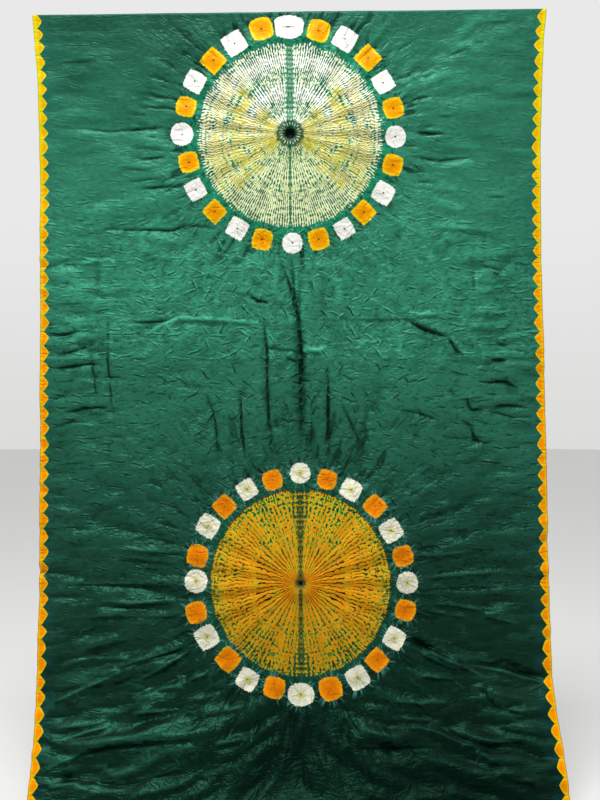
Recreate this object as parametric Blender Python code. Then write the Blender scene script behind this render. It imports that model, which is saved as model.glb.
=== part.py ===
# A tie-resist dyed cloth in one piece, hung from its top edge. It falls straight, leans forward near its foot
# and sweeps onto the floor, where its plain end lies flat.
# Metres, +Z up. The origin is the middle of the top edge. +X is to the right of a person facing the cloth,
# and -Y comes forward to them. A point of the cloth is named by how far across it lies from the middle line
# and how far along it lies from the top edge.

import math

import bpy
import numpy as np

# Driving sizes
LOOM_WIDTH = 0.914
CLOTH_LENGTH = 1.630
CLOTH_THICKNESS = 0.0015
TOP_EDGE_RISE = 0.0055
TOP_RISE_REACH = 0.16
PROFILE_STEP = 0.002
SMOOTHING_REACH = 0.020

# Mesh pitch away from the medallions
COLUMN_PITCH = 0.030
ROW_PITCH = 0.0225
PLEAT_COLUMNS = (-0.009, 0.004, 0.015, 0.026, 0.039)

# How the cloth hangs: where its left and right edges stand, and how far it leans forward of plumb, in degrees
HANG = [
    {"along": 0.000, "left": -0.4570, "right": 0.4570, "lean": 0},
    {"along": 0.045, "left": -0.4535, "right": 0.4515, "lean": 0},
    {"along": 0.120, "left": -0.4470, "right": 0.4485, "lean": 0},
    {"along": 0.200, "left": -0.4450, "right": 0.4470, "lean": 0},
    {"along": 0.320, "left": -0.4433, "right": 0.4460, "lean": 0},
    {"along": 0.480, "left": -0.4433, "right": 0.4485, "lean": 0},
    {"along": 0.670, "left": -0.4433, "right": 0.4535, "lean": 0},
    {"along": 0.860, "left": -0.4433, "right": 0.4568, "lean": 0},
    {"along": 1.000, "left": -0.4440, "right": 0.4595, "lean": 0},
    {"along": 1.100, "left": -0.4440, "right": 0.4610, "lean": 8},
    {"along": 1.160, "left": -0.4428, "right": 0.4615, "lean": 12},
    {"along": 1.220, "left": -0.4415, "right": 0.4628, "lean": 22},
    {"along": 1.280, "left": -0.4380, "right": 0.4665, "lean": 29},
    {"along": 1.360, "left": -0.4358, "right": 0.4687, "lean": 30},
    {"along": 1.420, "left": -0.4365, "right": 0.4695, "lean": 46},
    {"along": 1.480, "left": -0.4380, "right": 0.4690, "lean": 72},
    {"along": 1.520, "left": -0.4390, "right": 0.4685, "lean": 90},
    {"along": 1.630, "left": -0.4400, "right": 0.4680, "lean": 90},
]
# The folds ease from full height to this share of it between the lean and the floor, and at the held top edge
LEAN_END = 1.360
FLOOR_START = 1.500
FLOOR_RELIEF = 0.25
TOP_RELIEF = 0.25
TOP_EASE = 0.045

# Broad, slow waves over the whole cloth, in radians for each metre across and along
BROAD_WAVES = [
    {"height": 0.0022, "across": 21.0, "along": 4.0, "phase": 0.0},
    {"height": 0.0018, "across": 9.0, "along": 26.0, "phase": 1.3},
]

# The two tied medallions: centre, disc radius, how far the disc stands forward, and the turn of its gathers
MEDALLIONS = [
    {"across": 0.000, "along": 0.220, "disc": 0.164, "crown": 0.009, "turn": 0.10},
    {"across": 0.012, "along": 1.012, "disc": 0.162, "crown": 0.012, "turn": 0.37},
]
GATHERS = 20
GATHER_HEIGHT = 0.0032
GATHER_END = 0.275
GATHER_START = 0.05
GATHER_UNEVENNESS = 0.45
UNEVEN_TURNS = (3, 7)
PIN_RADIUS = 0.016
PIN_HEIGHT = 0.007
SPOKES_PER_GATHER = 4
RING_RADII = (0.010, 0.030, 0.060, 0.096, 0.134, 0.172)
RING_GAP = 0.012

# The main folds: both ends as (across, along), half width, and height, which is negative for a trough
FOLD_TAPER = 0.7
FOLDS = [
    {"start": (0.010, 0.415), "end": (0.018, 0.815), "half": 0.013, "height": -0.0100},
    {"start": (-0.370, 0.212), "end": (-0.215, 0.206), "half": 0.018, "height": -0.0050},
    {"start": (-0.350, 0.262), "end": (-0.200, 0.300), "half": 0.020, "height": 0.0050},
    {"start": (-0.345, 0.384), "end": (-0.130, 0.390), "half": 0.018, "height": -0.0070},
    {"start": (0.215, 0.255), "end": (0.345, 0.262), "half": 0.018, "height": -0.0055},
    {"start": (0.225, 0.165), "end": (0.400, 0.190), "half": 0.020, "height": 0.0050},
    {"start": (-0.280, 0.570), "end": (-0.190, 0.538), "half": 0.018, "height": 0.0065},
    {"start": (-0.366, 0.500), "end": (-0.358, 0.720), "half": 0.022, "height": -0.0065},
    {"start": (-0.328, 0.520), "end": (-0.334, 0.700), "half": 0.022, "height": 0.0050},
    {"start": (0.195, 0.535), "end": (0.318, 0.618), "half": 0.018, "height": -0.0085},
    {"start": (0.330, 0.648), "end": (0.420, 0.668), "half": 0.018, "height": -0.0065},
    {"start": (0.350, 0.400), "end": (0.342, 0.700), "half": 0.022, "height": 0.0055},
    {"start": (0.298, 0.715), "end": (0.370, 0.772), "half": 0.018, "height": -0.0070},
    {"start": (-0.140, 0.680), "end": (-0.124, 0.850), "half": 0.022, "height": -0.0055},
    {"start": (-0.062, 0.660), "end": (-0.058, 0.820), "half": 0.022, "height": 0.0055},
    {"start": (0.075, 0.670), "end": (0.086, 0.830), "half": 0.022, "height": 0.0055},
    {"start": (0.150, 0.640), "end": (0.132, 0.850), "half": 0.022, "height": -0.0055},
    {"start": (-0.440, 0.930), "end": (-0.220, 0.965), "half": 0.022, "height": 0.0055},
    {"start": (-0.440, 1.060), "end": (-0.210, 1.045), "half": 0.022, "height": 0.0055},
    {"start": (0.235, 0.960), "end": (0.450, 0.935), "half": 0.022, "height": 0.0055},
    {"start": (0.240, 1.040), "end": (0.455, 1.060), "half": 0.022, "height": 0.0050},
    {"start": (-0.445, 1.226), "end": (-0.170, 1.122), "half": 0.022, "height": 0.0125},
    {"start": (-0.290, 1.190), "end": (-0.160, 1.150), "half": 0.018, "height": -0.0070},
    {"start": (-0.300, 1.238), "end": (-0.170, 1.200), "half": 0.019, "height": 0.0085},
    {"start": (-0.445, 1.292), "end": (-0.120, 1.262), "half": 0.024, "height": 0.0100},
    {"start": (-0.430, 1.345), "end": (-0.200, 1.330), "half": 0.020, "height": -0.0070},
    {"start": (0.190, 1.105), "end": (0.345, 1.180), "half": 0.020, "height": 0.0100},
    {"start": (0.295, 1.138), "end": (0.452, 1.190), "half": 0.019, "height": -0.0085},
    {"start": (0.320, 1.196), "end": (0.440, 1.242), "half": 0.020, "height": 0.0100},
    {"start": (0.080, 1.292), "end": (0.225, 1.268), "half": 0.020, "height": 0.0100},
    {"start": (0.295, 1.335), "end": (0.425, 1.350), "half": 0.021, "height": 0.0085},
    {"start": (-0.300, 1.430), "end": (0.050, 1.415), "half": 0.030, "height": 0.0085},
    {"start": (0.060, 1.460), "end": (0.400, 1.445), "half": 0.030, "height": 0.0075},
]

# Short puckers that run in from both edges, where the tied border drew the cloth up
PUCKER_SEED = 11
PUCKER_SPACING = 0.046
PUCKER_REACH = (0.070, 0.150)
PUCKER_HALF = 0.017
PUCKER_HEIGHT = (0.0030, 0.0065)
PUCKER_TILT = 0.012
PUCKER_OVERRUN = 0.030
PUCKER_GAPS = (0.7, 1.4)


def hang_profile():
    """Samples the hanging table down the cloth: distance, left edge, right edge, forward reach, drop and lean."""
    along = np.arange(0.0, CLOTH_LENGTH + PROFILE_STEP, PROFILE_STEP)
    known = [row["along"] for row in HANG]
    columns = {key: np.interp(along, known, [row[key] for row in HANG]) for key in ("left", "right", "lean")}
    window = np.ones(2 * int(SMOOTHING_REACH / PROFILE_STEP) + 1)
    for key, values in columns.items():
        padded = np.pad(values, len(window) // 2, mode="edge")
        columns[key] = np.convolve(padded, window / window.sum(), mode="valid")
    lean = np.radians(columns["lean"])
    forward = np.concatenate([[0.0], np.cumsum(np.sin((lean[1:] + lean[:-1]) / 2) * PROFILE_STEP)])
    drop = np.concatenate([[0.0], np.cumsum(np.cos((lean[1:] + lean[:-1]) / 2) * PROFILE_STEP)])
    return along, columns["left"], columns["right"], forward, drop, lean


def fold_height(across, along, fold):
    """The height of one fold: a soft ridge or trough that fades out towards both of its ends."""
    start, end = np.array(fold["start"]), np.array(fold["end"])
    run = end - start
    length = np.linalg.norm(run)
    reach = ((across - start[0]) * run[0] + (along - start[1]) * run[1]) / length
    aside = ((across - start[0]) * run[1] - (along - start[1]) * run[0]) / length
    taper = np.sin(math.pi * np.clip(reach / length, 0.0, 1.0)) ** FOLD_TAPER
    return fold["height"] * taper * np.exp(-((aside / fold["half"]) ** 2))


def medallion_height(across, along, medallion):
    """The crowned disc, the knot at its middle, and the uneven gathers that fan out past its rim."""
    radius = np.hypot(across - medallion["across"], along - medallion["along"])
    angle = np.arctan2(along - medallion["along"], across - medallion["across"]) + medallion["turn"]
    crown = medallion["crown"] * np.exp(-((radius / medallion["disc"]) ** 4))
    pin = PIN_HEIGHT * (np.exp(-((radius / PIN_RADIUS - 1.0) ** 2)) - np.exp(-((2 * radius / PIN_RADIUS) ** 2)))
    swell = 1.0 + GATHER_UNEVENNESS * np.sin(UNEVEN_TURNS[0] * angle + 1.0) * np.sin(UNEVEN_TURNS[1] * angle)
    rise = np.clip(radius / GATHER_START, 0.0, 1.0)
    fade = np.clip((GATHER_END - radius) / (GATHER_END - medallion["disc"]), 0.0, 1.0)
    return crown + pin + GATHER_HEIGHT * swell * rise * fade * np.cos(GATHERS * angle)


def edge_puckers():
    """The puckers of both edges as rows of the same form as the main folds."""
    chance = np.random.default_rng(PUCKER_SEED)
    rows = []
    for side in (-1, 1):
        along = PUCKER_SPACING
        while along < FLOOR_START - PUCKER_SPACING:
            reach = chance.uniform(*PUCKER_REACH)
            tilt = chance.uniform(-PUCKER_TILT, PUCKER_TILT)
            height = chance.uniform(*PUCKER_HEIGHT) * chance.choice([-1, 1])
            edge = side * (LOOM_WIDTH / 2 + PUCKER_OVERRUN)
            start, end = (edge, along), (side * (LOOM_WIDTH / 2 - reach), along + tilt)
            rows.append({"start": start, "end": end, "half": PUCKER_HALF, "height": height})
            along += PUCKER_SPACING * chance.uniform(*PUCKER_GAPS)
    return rows


def relief(across, along):
    """How far the cloth stands forward of its plain hanging surface."""
    height = np.zeros_like(across)
    for wave in BROAD_WAVES:
        height += wave["height"] * np.sin(across * wave["across"] + along * wave["along"] + wave["phase"])
    for medallion in MEDALLIONS:
        height += medallion_height(across, along, medallion)
    for fold in FOLDS + edge_puckers():
        height += fold_height(across, along, fold)
    held = TOP_RELIEF + (1.0 - TOP_RELIEF) * np.clip(along / TOP_EASE, 0.0, 1.0)
    grounded = np.clip((along - LEAN_END) / (FLOOR_START - LEAN_END), 0.0, 1.0)
    return height * held * (1.0 - (1.0 - FLOOR_RELIEF) * grounded)


def hung_points(across, along):
    """The places of cloth points in the hanging cloth, as rows of x, y, z."""
    known, left, right, forward, drop, lean = hang_profile()
    left, right, forward, drop, lean = (np.interp(along, known, v) for v in (left, right, forward, drop, lean))
    share = across / LOOM_WIDTH + 0.5
    rise = TOP_EDGE_RISE * (2.0 * share - 1.0) * np.clip(1.0 - along / TOP_RISE_REACH, 0.0, 1.0) ** 2
    height = relief(across, along)
    x = left + (right - left) * share
    y = -forward - height * np.cos(lean)
    z = rise - drop + height * np.sin(lean)
    return np.column_stack([x, y, z])


def even_lines(stops, pitch):
    """Grid lines through every stop, spread evenly between one stop and the next."""
    lines = [stops[0]]
    for low, high in zip(stops[:-1], stops[1:]):
        steps = max(1, round((high - low) / pitch))
        lines += [low + (high - low) * step / steps for step in range(1, steps + 1)]
    return lines


def bridge(inner, outer, centre, points):
    """Triangles between two loops round a centre, walked together by angle."""

    def by_angle(loop):
        turns = [(math.atan2(points[i][1] - centre[1], points[i][0] - centre[0]), i) for i in loop]
        return sorted(turns)

    inner, outer = by_angle(inner), by_angle(outer)
    faces, i, o = [], 0, 0
    while i < len(inner) or o < len(outer):
        here, there = inner[i % len(inner)][1], outer[o % len(outer)][1]
        next_inner = inner[(i + 1) % len(inner)][0] + (2 * math.pi if i + 1 >= len(inner) else 0.0)
        next_outer = outer[(o + 1) % len(outer)][0] + (2 * math.pi if o + 1 >= len(outer) else 0.0)
        if i < len(inner) and (o >= len(outer) or next_inner < next_outer):
            faces.append((here, there, inner[(i + 1) % len(inner)][1]))
            i += 1
        else:
            faces.append((here, there, outer[(o + 1) % len(outer)][1]))
            o += 1
    return faces


def flat_mesh():
    """The cloth laid flat: a grid of quads with a wheel of rings and spokes set into it at each medallion."""
    half = LOOM_WIDTH / 2
    columns = even_lines([-half, *PLEAT_COLUMNS, half], COLUMN_PITCH)
    rows = even_lines([0.0, CLOTH_LENGTH], ROW_PITCH)
    points = [(across, along) for along in rows for across in columns]
    wide = len(columns)
    open_cells, faces = {}, []
    for r in range(len(rows) - 1):
        for c in range(wide - 1):
            middle = ((columns[c] + columns[c + 1]) / 2, (rows[r] + rows[r + 1]) / 2)
            corner = r * wide + c
            loop = (corner, corner + 1, corner + wide + 1, corner + wide)
            owner = None
            for m, medallion in enumerate(MEDALLIONS):
                if math.dist(middle, (medallion["across"], medallion["along"])) < RING_RADII[-1] + RING_GAP:
                    owner = m
            if owner is None:
                faces.append(loop)
            else:
                open_cells.setdefault(owner, []).append(loop)
    for m, medallion in enumerate(MEDALLIONS):
        centre = (medallion["across"], medallion["along"])
        sides = {}
        for loop in open_cells[m]:
            for a, b in zip(loop, loop[1:] + loop[:1]):
                sides[frozenset((a, b))] = sides.get(frozenset((a, b)), 0) + 1
        inner = None
        for radius in RING_RADII:
            count = GATHERS * (SPOKES_PER_GATHER if radius > RING_RADII[1] else 1)
            ring = []
            for spoke in range(count):
                angle = 2 * math.pi * spoke / count - medallion["turn"]
                ring.append(len(points))
                points.append((centre[0] + radius * math.cos(angle), centre[1] + radius * math.sin(angle)))
            if inner is None:
                hub = len(points)
                points.append(centre)
                faces += [(hub, a, b) for a, b in zip(ring, ring[1:] + ring[:1])]
            elif len(inner) == len(ring):
                faces += [(inner[s - 1], ring[s - 1], ring[s], inner[s]) for s in range(len(ring))]
            else:
                faces += bridge(inner, ring, centre, points)
            inner = ring
        rim = {i for side, times in sides.items() if times == 1 for i in side}
        faces += bridge(inner, rim, centre, points)
    used = sorted({i for face in faces for i in face})
    place = {old: new for new, old in enumerate(used)}
    return np.array([points[i] for i in used]), [tuple(place[i] for i in reversed(face)) for face in faces]


def dyed_cloth_material():
    material = bpy.data.materials.new("dyed satin cloth")
    material.use_nodes = True
    shader = material.node_tree.nodes["Principled BSDF"]
    shader.inputs["Base Color"].default_value = (0.022, 0.120, 0.078, 1.0)
    shader.inputs["Roughness"].default_value = 0.5
    shader.inputs["Metallic"].default_value = 0.0
    return material


def make_cloth():
    flat, faces = flat_mesh()
    hung = hung_points(flat[:, 0], flat[:, 1])
    mesh = bpy.data.meshes.new("cloth")
    mesh.from_pydata(hung.tolist(), [], faces)
    mesh.validate()
    for face in mesh.polygons:
        face.use_smooth = True
    cloth = bpy.data.objects.new("cloth", mesh)
    bpy.context.scene.collection.objects.link(cloth)
    cloth.data.materials.append(dyed_cloth_material())
    wall = cloth.modifiers.new("wall", "SOLIDIFY")
    wall.thickness = CLOTH_THICKNESS
    wall.offset = 0.0
    return cloth


for old in list(bpy.data.objects):
    bpy.data.objects.remove(old)
make_cloth()
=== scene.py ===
import math

import bmesh
import bpy
import numpy as np
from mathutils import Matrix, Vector


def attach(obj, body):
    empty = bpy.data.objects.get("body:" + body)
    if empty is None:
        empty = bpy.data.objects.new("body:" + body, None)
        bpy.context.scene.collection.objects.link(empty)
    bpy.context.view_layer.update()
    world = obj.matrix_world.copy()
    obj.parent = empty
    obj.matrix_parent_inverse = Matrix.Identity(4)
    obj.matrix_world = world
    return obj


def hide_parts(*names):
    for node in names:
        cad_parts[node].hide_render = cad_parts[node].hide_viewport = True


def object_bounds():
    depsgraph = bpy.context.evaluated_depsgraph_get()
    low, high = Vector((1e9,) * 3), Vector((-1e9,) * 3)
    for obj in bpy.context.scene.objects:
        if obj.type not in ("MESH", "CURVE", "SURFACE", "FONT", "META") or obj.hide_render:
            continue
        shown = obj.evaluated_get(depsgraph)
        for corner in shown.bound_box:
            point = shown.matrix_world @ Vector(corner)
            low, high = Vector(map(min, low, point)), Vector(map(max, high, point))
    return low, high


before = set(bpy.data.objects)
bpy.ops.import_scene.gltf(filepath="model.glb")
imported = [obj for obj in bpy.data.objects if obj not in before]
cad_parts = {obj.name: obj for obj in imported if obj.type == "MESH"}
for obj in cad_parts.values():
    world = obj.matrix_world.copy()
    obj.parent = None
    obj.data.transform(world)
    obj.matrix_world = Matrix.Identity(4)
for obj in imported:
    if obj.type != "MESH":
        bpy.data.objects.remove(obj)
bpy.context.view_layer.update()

# A bandhani cloth: one loom width of green satin, tied and dyed with two ringed medallions and a scalloped
# edge. It hangs straight from its top edge, leans forward near the foot and sweeps onto the floor.
# The row frame's origin is the middle of the top edge, -Y is towards the viewer.
# Cloth points are named by their place on the flat cloth: across from the middle line, along from the top.

# Everything about how the one piece hangs, in metres and degrees
hungCloth = {
    "loomWidth": 0.914,
    "length": 1.630,
    "thickness": 0.0006,
    "topRise": 0.0055,          # the top edge climbs this much from the middle to the right end
    "topRiseReach": 0.16,
    "topEase": 0.045,           # folds grow to full height over this much cloth below the held edge
    "topRelief": 0.25,
    "leanEnd": 1.360,
    "floorStart": 1.500,
    "floorRelief": 0.25,
    "columnPitch": 0.0098,
    "rowPitch": 0.0070,
    "tailStart": 1.400,         # the end that lies on the floor has fewer creases and a coarser mesh
    "tailPitch": 0.014,
    "refineReach": (0.0065, 0.0038),   # the mesh is halved this near to a sharp crease, once for each reach
    "hemWidth": 0.0035,
    "hemHeight": 0.0006,
}

# Where the left and right edges stand, and how far the cloth leans forward of plumb
hangRows = [
    {"along": 0.000, "left": -0.4570, "right": 0.4570, "lean": 0},
    {"along": 0.045, "left": -0.4535, "right": 0.4515, "lean": 0},
    {"along": 0.120, "left": -0.4470, "right": 0.4485, "lean": 0},
    {"along": 0.200, "left": -0.4450, "right": 0.4470, "lean": 0},
    {"along": 0.320, "left": -0.4433, "right": 0.4460, "lean": 0},
    {"along": 0.480, "left": -0.4433, "right": 0.4485, "lean": 0},
    {"along": 0.670, "left": -0.4433, "right": 0.4535, "lean": 0},
    {"along": 0.860, "left": -0.4433, "right": 0.4568, "lean": 0},
    {"along": 1.000, "left": -0.4440, "right": 0.4595, "lean": 0},
    {"along": 1.100, "left": -0.4440, "right": 0.4610, "lean": 8},
    {"along": 1.160, "left": -0.4428, "right": 0.4615, "lean": 12},
    {"along": 1.220, "left": -0.4415, "right": 0.4628, "lean": 22},
    {"along": 1.280, "left": -0.4380, "right": 0.4665, "lean": 29},
    {"along": 1.360, "left": -0.4358, "right": 0.4687, "lean": 30},
    {"along": 1.420, "left": -0.4365, "right": 0.4695, "lean": 46},
    {"along": 1.480, "left": -0.4380, "right": 0.4690, "lean": 72},
    {"along": 1.520, "left": -0.4390, "right": 0.4685, "lean": 90},
    {"along": 1.630, "left": -0.4400, "right": 0.4680, "lean": 90},
]
profileStep, smoothingReach = 0.002, 0.020

# The two tied medallions. disc is the half width and half height of the pleated disc on the flat cloth
medallions = [
    {"across": 0.000, "along": 0.220, "disc": (0.1675, 0.1625), "ring": 0.1940, "crown": 0.009, "turn": 0.10},
    {"across": 0.012, "along": 1.012, "disc": (0.1616, 0.1650), "ring": 0.1905, "crown": 0.012, "turn": 0.37},
]
# The most that a dot strays by chance from its even place in the ring, in degrees round it and in
# millimetres outward
dotStray = {"turn": 1.0, "reach": 4.0}
pleating = {
    "gathers": 20,              # broad gathers round the circle
    "gatherHeight": 0.0024,
    "gatherStart": 0.15,
    "gatherEnd": 0.275,
    "unevenness": 0.45,
    "pleats": 108,              # fine tied pleats round the circle, about 8 mm apart at the rim
    "pleatSteepness": 0.0060,   # pleat height for each metre of radius
    "pleatTallest": 0.0008,
    "pleatFade": (0.165, 0.215),
    "wander": 0.42,             # how far a pleat strays sideways, in pleats
    "pinRadius": 0.016,
    "pinHeight": 0.007,
    "spokes": 432,
    "ringPitch": 0.0082,
    "meshRadius": 0.178,
    "meshGap": 0.005,
}

# Broad slow waves of the whole cloth, in radians for each metre
broadWaves = [
    {"height": 0.0022, "across": 21.0, "along": 4.0, "phase": 0.0},
    {"height": 0.0018, "across": 9.0, "along": 26.0, "phase": 1.3},
    {"height": 0.0007, "across": 47.0, "along": 61.0, "phase": 0.4},
    {"height": 0.0007, "across": -58.0, "along": 43.0, "phase": 2.1},
]

# The main folds, as broad as the solid's: half is the half width, height is negative for a trough
mainFolds = [
    {"path": [(0.010, 0.415), (0.018, 0.815)], "half": 0.011, "height": -0.0090, "lip": 0.2},
    {"path": [(-0.370, 0.212), (-0.215, 0.206)], "half": 0.018, "height": -0.0030, "lip": 0.0},
    {"path": [(-0.350, 0.262), (-0.200, 0.300)], "half": 0.020, "height": 0.0035, "lip": 0.0},
    {"path": [(-0.345, 0.384), (-0.130, 0.390)], "half": 0.018, "height": -0.0040, "lip": 0.0},
    {"path": [(0.215, 0.255), (0.345, 0.262)], "half": 0.018, "height": -0.0035, "lip": 0.0},
    {"path": [(0.225, 0.165), (0.400, 0.190)], "half": 0.020, "height": 0.0035, "lip": 0.0},
    {"path": [(-0.366, 0.500), (-0.358, 0.720)], "half": 0.022, "height": -0.0045, "lip": 0.0},
    {"path": [(-0.328, 0.520), (-0.334, 0.700)], "half": 0.022, "height": 0.0040, "lip": 0.0},
    {"path": [(0.350, 0.400), (0.342, 0.700)], "half": 0.022, "height": 0.0045, "lip": 0.0},
    {"path": [(-0.140, 0.680), (-0.124, 0.850)], "half": 0.020, "height": -0.0045, "lip": 0.0},
    {"path": [(-0.062, 0.660), (-0.058, 0.820)], "half": 0.020, "height": 0.0045, "lip": 0.0},
    {"path": [(0.075, 0.670), (0.086, 0.830)], "half": 0.020, "height": 0.0045, "lip": 0.0},
    {"path": [(0.150, 0.640), (0.132, 0.850)], "half": 0.020, "height": -0.0045, "lip": 0.0},
    {"path": [(-0.440, 0.930), (-0.220, 0.965)], "half": 0.022, "height": 0.0050, "lip": 0.0},
    {"path": [(-0.440, 1.060), (-0.210, 1.045)], "half": 0.022, "height": 0.0050, "lip": 0.0},
    {"path": [(0.235, 0.960), (0.450, 0.935)], "half": 0.022, "height": 0.0050, "lip": 0.0},
    {"path": [(0.240, 1.040), (0.455, 1.060)], "half": 0.022, "height": 0.0045, "lip": 0.0},
    {"path": [(-0.445, 1.226), (-0.318, 1.178), (-0.170, 1.122)], "half": 0.014, "height": 0.0100,
     "lip": 0.0},
    {"path": [(-0.300, 1.238), (-0.170, 1.200)], "half": 0.013, "height": 0.0065, "lip": 0.0},
    {"path": [(-0.445, 1.292), (-0.120, 1.262)], "half": 0.020, "height": 0.0080, "lip": 0.0},
    {"path": [(-0.430, 1.345), (-0.200, 1.330)], "half": 0.018, "height": -0.0060, "lip": 0.0},
    {"path": [(0.190, 1.105), (0.345, 1.180)], "half": 0.016, "height": 0.0080, "lip": 0.0},
    {"path": [(0.295, 1.138), (0.452, 1.190)], "half": 0.016, "height": -0.0070, "lip": 0.0},
    {"path": [(0.320, 1.196), (0.440, 1.242)], "half": 0.016, "height": 0.0080, "lip": 0.0},
    {"path": [(0.080, 1.292), (0.225, 1.268)], "half": 0.016, "height": 0.0080, "lip": 0.0},
    {"path": [(0.295, 1.335), (0.425, 1.350)], "half": 0.018, "height": 0.0070, "lip": 0.0},
    {"path": [(-0.300, 1.430), (0.050, 1.415)], "half": 0.030, "height": 0.0070, "lip": 0.0},
    {"path": [(0.060, 1.460), (0.400, 1.445)], "half": 0.030, "height": 0.0065, "lip": 0.0},
]
# The sharp creases by kind. half is the half width and height is negative for a trough, in metres; lip is the
# share raised above a trough or sunk below a ridge; shade is dark above nought and lit below it
creaseKinds = {
    "pleat": {"half": 0.0058, "height": -0.0075, "lip": 0.35, "shade": 1.60, "halvings": 2},
    "black": {"half": 0.0042, "height": -0.0042, "lip": 0.60, "shade": 1.70, "halvings": 2},
    "dark": {"half": 0.0038, "height": -0.0030, "lip": 0.50, "shade": 1.10, "halvings": 2},
    "thin": {"half": 0.0036, "height": -0.0019, "lip": 0.40, "shade": 0.75, "halvings": 1},
    "lit": {"half": 0.0042, "height": 0.0036, "lip": 0.50, "shade": -1.00, "halvings": 2},
    "gleam": {"half": 0.0038, "height": 0.0022, "lip": 0.40, "shade": -0.70, "halvings": 1},
    "band": {"half": 0.0095, "height": 0.0062, "lip": 0.40, "shade": -0.70, "halvings": 0},
}
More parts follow.
